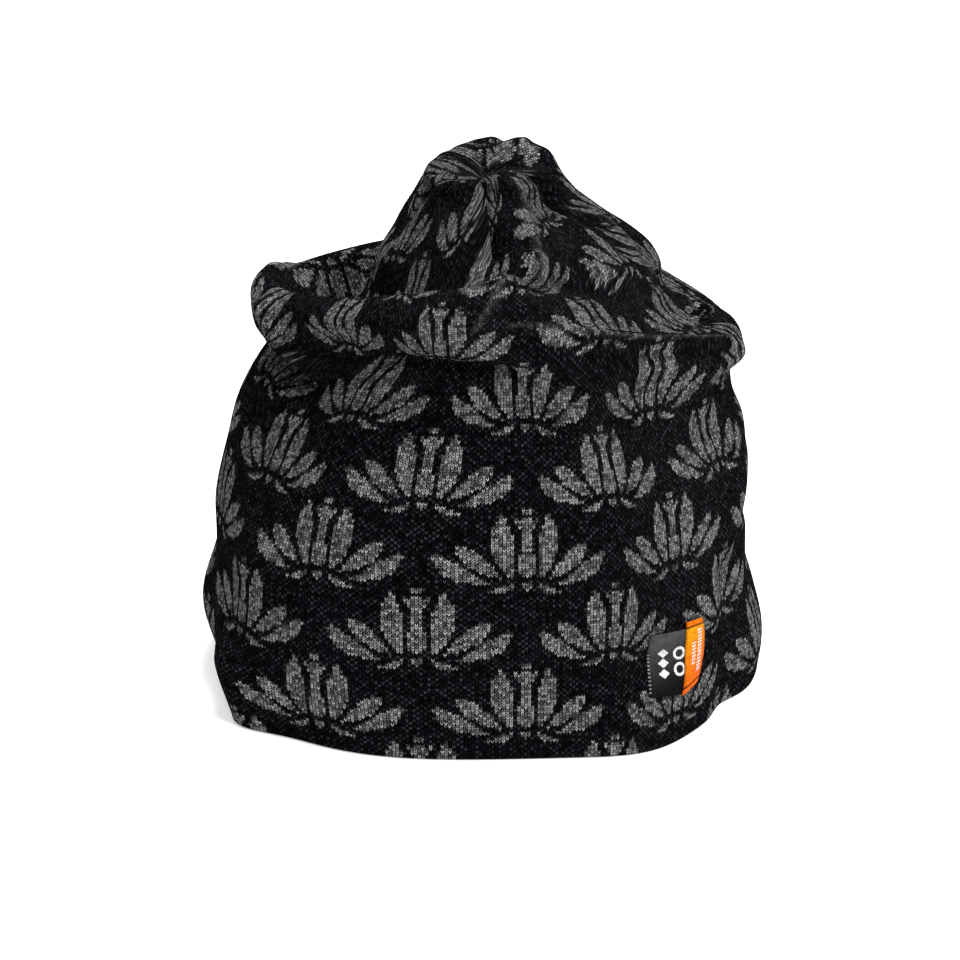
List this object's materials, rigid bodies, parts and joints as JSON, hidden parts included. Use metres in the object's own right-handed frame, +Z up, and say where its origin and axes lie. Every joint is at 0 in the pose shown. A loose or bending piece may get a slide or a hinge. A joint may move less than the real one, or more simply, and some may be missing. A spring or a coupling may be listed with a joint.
{
  "type": "slouchy wool beanie",
  "caption": "Slouchy double-knit beanie with a closed crown that slumps into a folded pouch, a plain hem and a small two-part side label.",
  "frame": {"origin": "on the floor, under the middle of the hat's bounding box", "axes": "+Z up from the hem to the crown, -Y towards the front that carries the pouch's lip, +X towards the right of a viewer who faces the front, where the label is"},
  "size_m": [0.1896, 0.1636, 0.181],
  "materials": {
    "wool_knit": "matte double-layer jacquard wool knit, near black with a marled grey lotus repeat",
    "label_tape_black": "satin woven tape",
    "label_tape_orange": "twill woven tape"
  },
  "bodies": {
    "root": {"knit_body": "wool_knit", "label_black": "label_tape_black", "label_orange": "label_tape_orange"}
  },
  "joints": []
}
